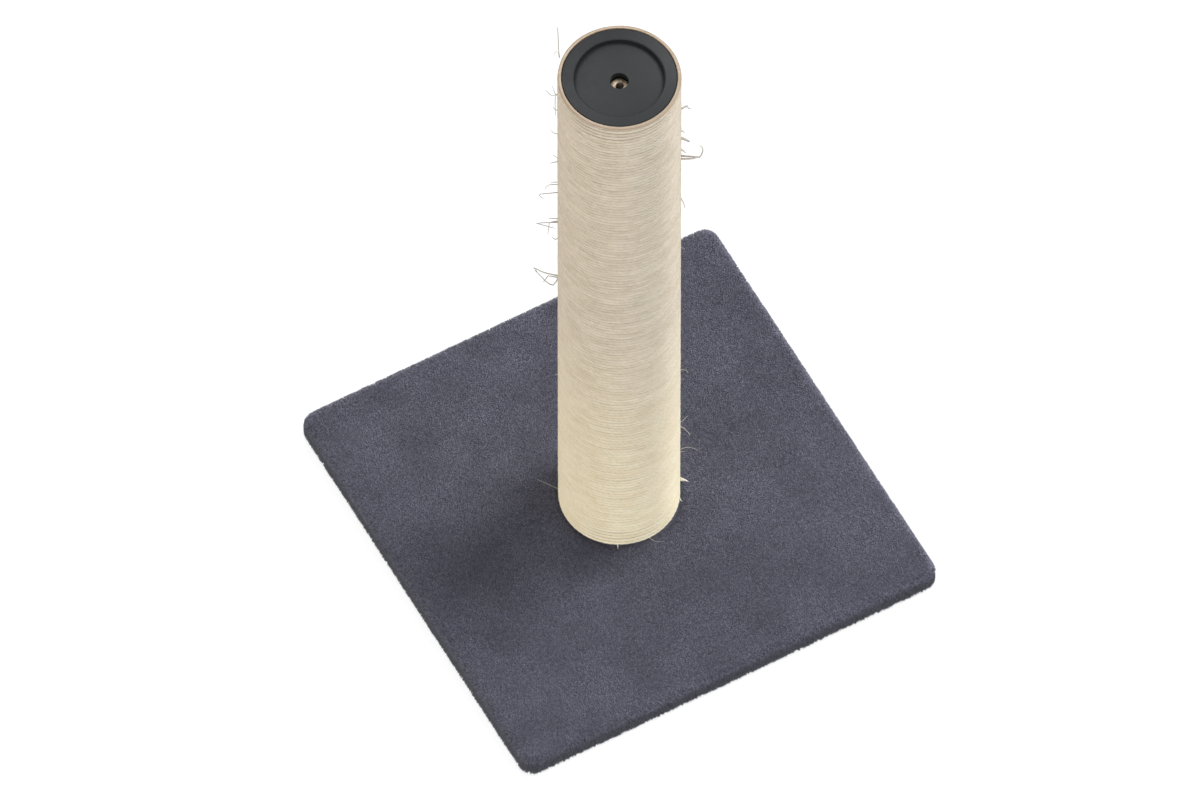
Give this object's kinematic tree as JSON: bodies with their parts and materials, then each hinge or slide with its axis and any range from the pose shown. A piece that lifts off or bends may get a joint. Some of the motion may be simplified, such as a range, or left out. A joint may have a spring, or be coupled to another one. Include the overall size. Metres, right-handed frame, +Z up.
{
  "type": "cat scratching post",
  "caption": "Free-standing cat scratching post: an upright tube wound with sisal rope on a square plush-covered base, with a threaded insert in its top plug.",
  "frame": {"origin": "on the floor under the middle of the square base", "axes": "+Z up along the post; X and Y along the base's edges"},
  "size_m": [0.4566, 0.4566, 0.7739],
  "materials": {
    "board": "raw fibreboard",
    "plush": "short dark grey plush",
    "staple_wire": "galvanised wire",
    "zinc_steel": "zinc plated",
    "plug_plastic": "satin moulded plastic",
    "insert_metal": "machined",
    "paper_tube": "wound kraft paper",
    "sisal": "natural three-strand sisal rope"
  },
  "bodies": {
    "root": {"base_board": "board", "plush_cover": "plush", "hem_staples": "staple_wire", "base_washer": "zinc_steel", "base_bolt": "zinc_steel", "bottom_plug": "plug_plastic", "post_tube": "paper_tube", "plug_staples": "staple_wire", "top_plug": "plug_plastic", "threaded_inserts": "insert_metal", "sisal_rope": "sisal"}
  },
  "joints": []
}
